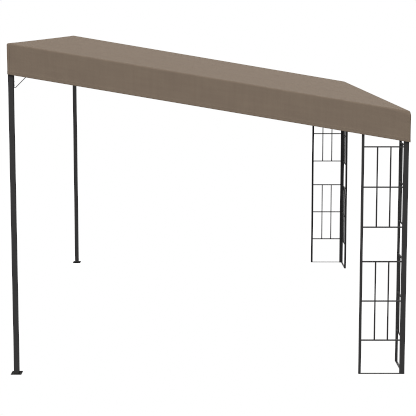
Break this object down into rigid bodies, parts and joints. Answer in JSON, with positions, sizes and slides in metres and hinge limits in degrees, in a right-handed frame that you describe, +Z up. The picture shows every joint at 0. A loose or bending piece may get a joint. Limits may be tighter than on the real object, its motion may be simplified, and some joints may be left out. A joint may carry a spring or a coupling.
{
  "type": "wall gazebo",
  "caption": "Lean-to wall gazebo: slim square rear posts on base plates, lattice corner legs at the low front, light roof frame and a fitted fabric canopy with hanging valance.",
  "frame": {"origin": "on the floor, in the middle of the footprint", "axes": "+X along the wall, +Y towards the wall (the high side), +Z up"},
  "size_m": [4.002, 3.0186, 2.525],
  "materials": {
    "powder_coated_steel": "satin powder coat, near-black anthracite",
    "canopy_cloth": "matt woven polyester with a thin coating, taupe"
  },
  "bodies": {
    "root": {"rear_post_left": "powder_coated_steel", "rear_post_right": "powder_coated_steel", "rear_base_plate_left": "powder_coated_steel", "rear_base_plate_right": "powder_coated_steel", "corner_post_left": "powder_coated_steel", "corner_post_right": "powder_coated_steel", "side_lattice_left": "powder_coated_steel", "side_lattice_right": "powder_coated_steel", "front_lattice_left": "powder_coated_steel", "front_lattice_right": "powder_coated_steel", "wall_beam": "powder_coated_steel", "front_beam": "powder_coated_steel", "side_rafter_left": "powder_coated_steel", "side_rafter_right": "powder_coated_steel", "middle_rafter_left": "powder_coated_steel", "middle_rafter_right": "powder_coated_steel", "knee_brace_left": "powder_coated_steel", "knee_brace_right": "powder_coated_steel", "canopy_top": "canopy_cloth", "valance_left": "canopy_cloth", "valance_right": "canopy_cloth", "valance_front": "canopy_cloth", "valance_wall": "canopy_cloth"}
  },
  "joints": []
}
